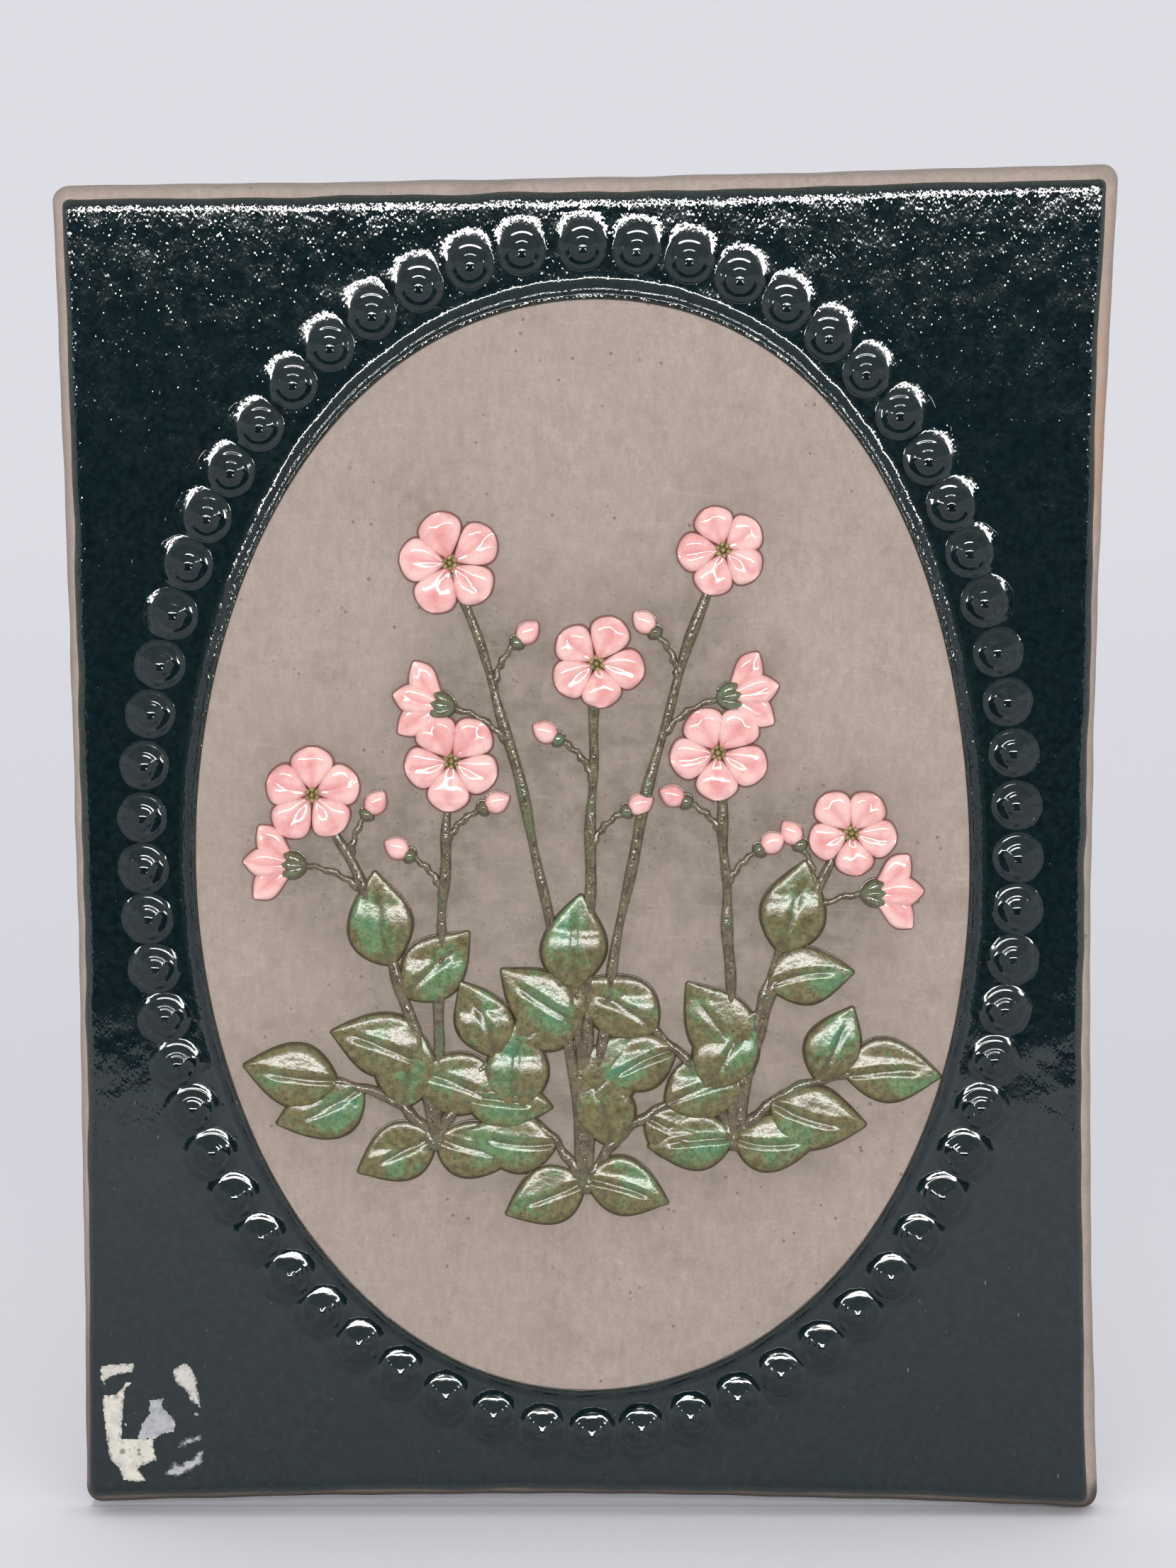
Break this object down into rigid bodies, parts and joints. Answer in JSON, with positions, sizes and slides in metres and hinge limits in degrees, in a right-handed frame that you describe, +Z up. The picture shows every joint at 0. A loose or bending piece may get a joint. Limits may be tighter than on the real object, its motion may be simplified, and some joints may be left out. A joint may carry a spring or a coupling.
{
  "type": "decorative wall plaque",
  "caption": "Upright ceramic wall plaque: a dark glazed slab with a beaded oval round a bare clay field that carries a glazed flower relief; hangs flat against a wall.",
  "frame": {"origin": "middle of the flat back, which lies against the wall", "axes": "+Y out of the back into the wall, -Y the decorated front, +Z up when hung, +X to the right seen from the front"},
  "size_m": [0.1663, 0.0112, 0.2144],
  "materials": {
    "dark_glaze": "glossy green-black glaze, mottled, thin and grey-green along its edges",
    "bare_clay": "unglazed matt pinkish grey-brown stoneware with fine pits",
    "leaf_glaze": "glossy green glaze, pooled in the middle and olive brown towards the edges",
    "stem_glaze": "glossy olive-brown glaze",
    "blossom_glaze": "glossy pale pink glaze with darker rose shading and brown specks",
    "label_paper": "torn remains of an old pasted paper, cream to silvery grey"
  },
  "bodies": {
    "root": {"plaque": "dark_glaze"}
  },
  "joints": []
}
